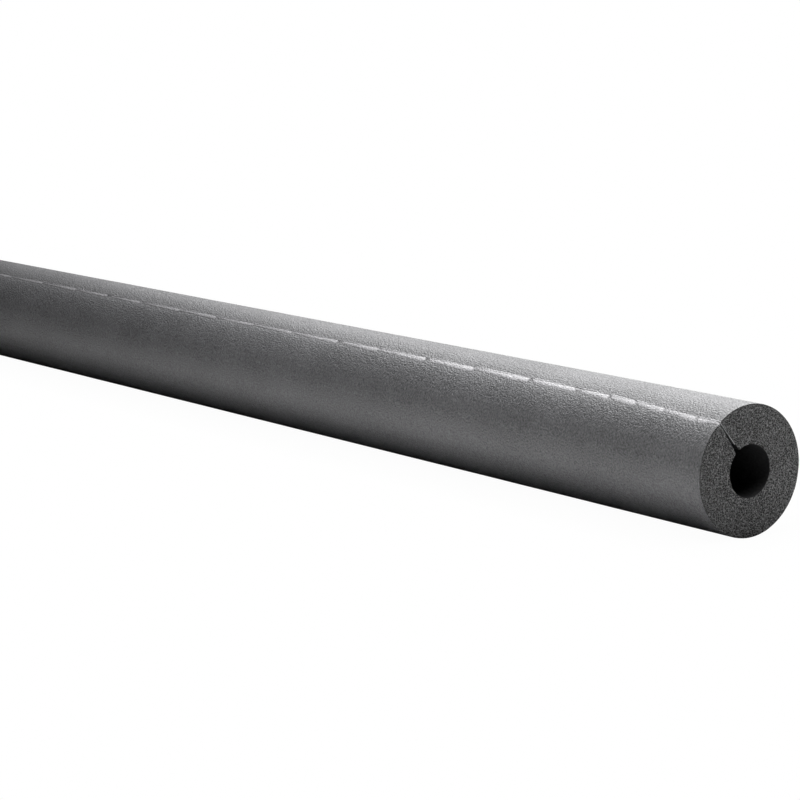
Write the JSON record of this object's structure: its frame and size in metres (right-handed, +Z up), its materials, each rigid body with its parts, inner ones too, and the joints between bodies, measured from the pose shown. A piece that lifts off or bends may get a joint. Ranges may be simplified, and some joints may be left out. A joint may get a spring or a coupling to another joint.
{
  "type": "pipe insulation lagging",
  "caption": "Straight foam tube, slit along its length with a liner strip in the slit, that snaps round a pipe to insulate it.",
  "frame": {"origin": "on the floor under the middle of the tube, midway between its cut ends", "axes": "+X along the tube towards the cut end that the picture shows, +Z up, slit in the upper side that faces -Y"},
  "size_m": [1, 0.07, 0.07],
  "materials": {
    "foam": "closed-cell polyethylene foam, satin skin outside and open cells on the cut ends",
    "liner_film": "thin pale release film, satin, crinkled along its outer fold"
  },
  "bodies": {
    "root": {"foam_tube": "foam", "seam_liner": "liner_film"}
  },
  "joints": []
}
